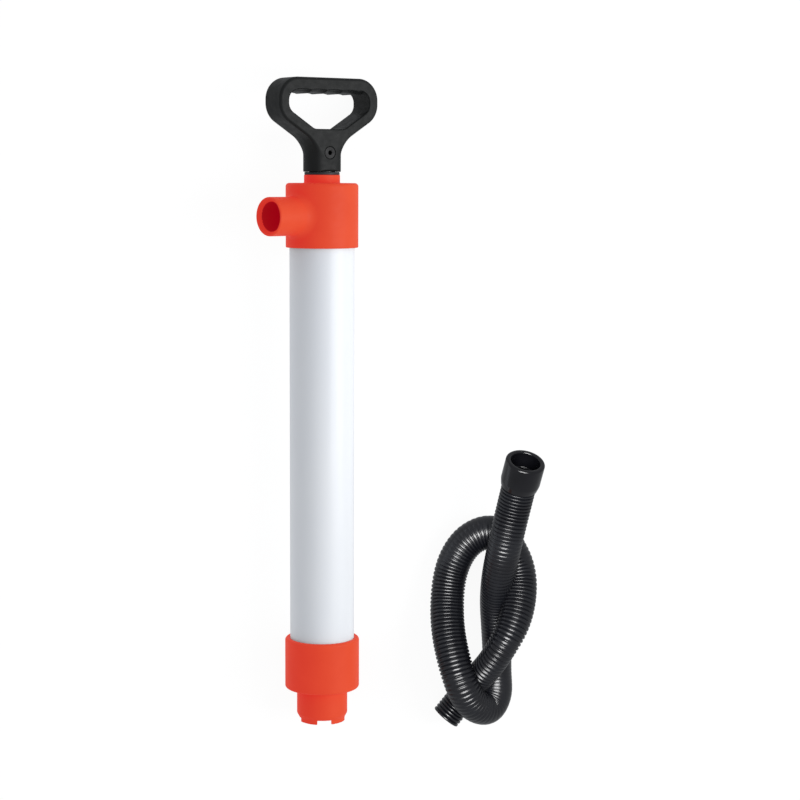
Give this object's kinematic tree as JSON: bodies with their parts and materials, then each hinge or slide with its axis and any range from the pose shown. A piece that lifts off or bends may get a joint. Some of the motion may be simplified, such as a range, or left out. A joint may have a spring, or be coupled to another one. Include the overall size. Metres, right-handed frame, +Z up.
{
  "type": "hand bilge pump",
  "caption": "Hand bilge pump: tube barrel, head with side spout, notched foot, D handle on a sliding rod, and a loose ribbed hose with a soft cuff.",
  "frame": {"origin": "centre of the foot's notched end, on the pump axis", "axes": "+Y along the pump axis from foot to handle, +Z up as the pump lies on a flat surface, +X towards the loose hose"},
  "size_m": [0.2119, 0.4926, 0.0778],
  "materials": {
    "white_pipe": "satin extruded pipe",
    "orange_plastic": "moulded, soft gloss",
    "natural_plastic": "satin",
    "black_rubber": "matt",
    "black_plastic": "matt moulded",
    "handle_plastic": "fine satin texture",
    "black_screw": "black oxide",
    "steel": "bright turned",
    "hose_plastic": "glossy ribbed",
    "cuff_vinyl": "glossy soft vinyl"
  },
  "bodies": {
    "pump_body": {"barrel": "white_pipe", "head": "orange_plastic", "foot": "orange_plastic", "rod_bush": "natural_plastic", "rod_seal": "black_rubber", "foot_valve_seat": "black_plastic", "foot_gasket": "black_rubber", "foot_valve_pin": "black_plastic", "inlet_strainer": "black_plastic"},
    "piston": {"piston_seat": "orange_plastic", "piston_cup": "black_rubber", "piston_retainer": "orange_plastic"},
    "plunger": {"rod": "natural_plastic", "rod_plug": "black_plastic", "piston_bolt": "steel", "piston_washer": "steel", "handle": "handle_plastic", "handle_screw": "black_screw"},
    "piston_valve": {"piston_flap": "black_rubber"},
    "foot_valve": {"foot_valve_flap": "black_rubber"},
    "suction_hose": {"hose": "hose_plastic", "hose_cuff": "cuff_vinyl"}
  },
  "joints": [
    {"name": "plunger_slide", "type": "slide", "parent": "pump_body", "child": "piston", "axis": [0, 1, 0], "range_m": [0, 0.31]},
    {"name": "plunger_spin", "type": "hinge", "parent": "piston", "child": "plunger", "pos_m": [0, 0.4, 0], "axis": [0, 1, 0], "continuous": true},
    {"name": "piston_flap_lift", "type": "slide", "parent": "piston", "child": "piston_valve", "axis": [0, 1, 0], "range_m": [0, 0.003]},
    {"name": "foot_flap_lift", "type": "slide", "parent": "pump_body", "child": "foot_valve", "axis": [0, 1, 0], "range_m": [0, 0.003]},
    {"name": "hose_lift", "type": "slide", "parent": "pump_body", "child": "suction_hose", "axis": [0, 0, 1], "range_m": [0, 0.15]}
  ]
}
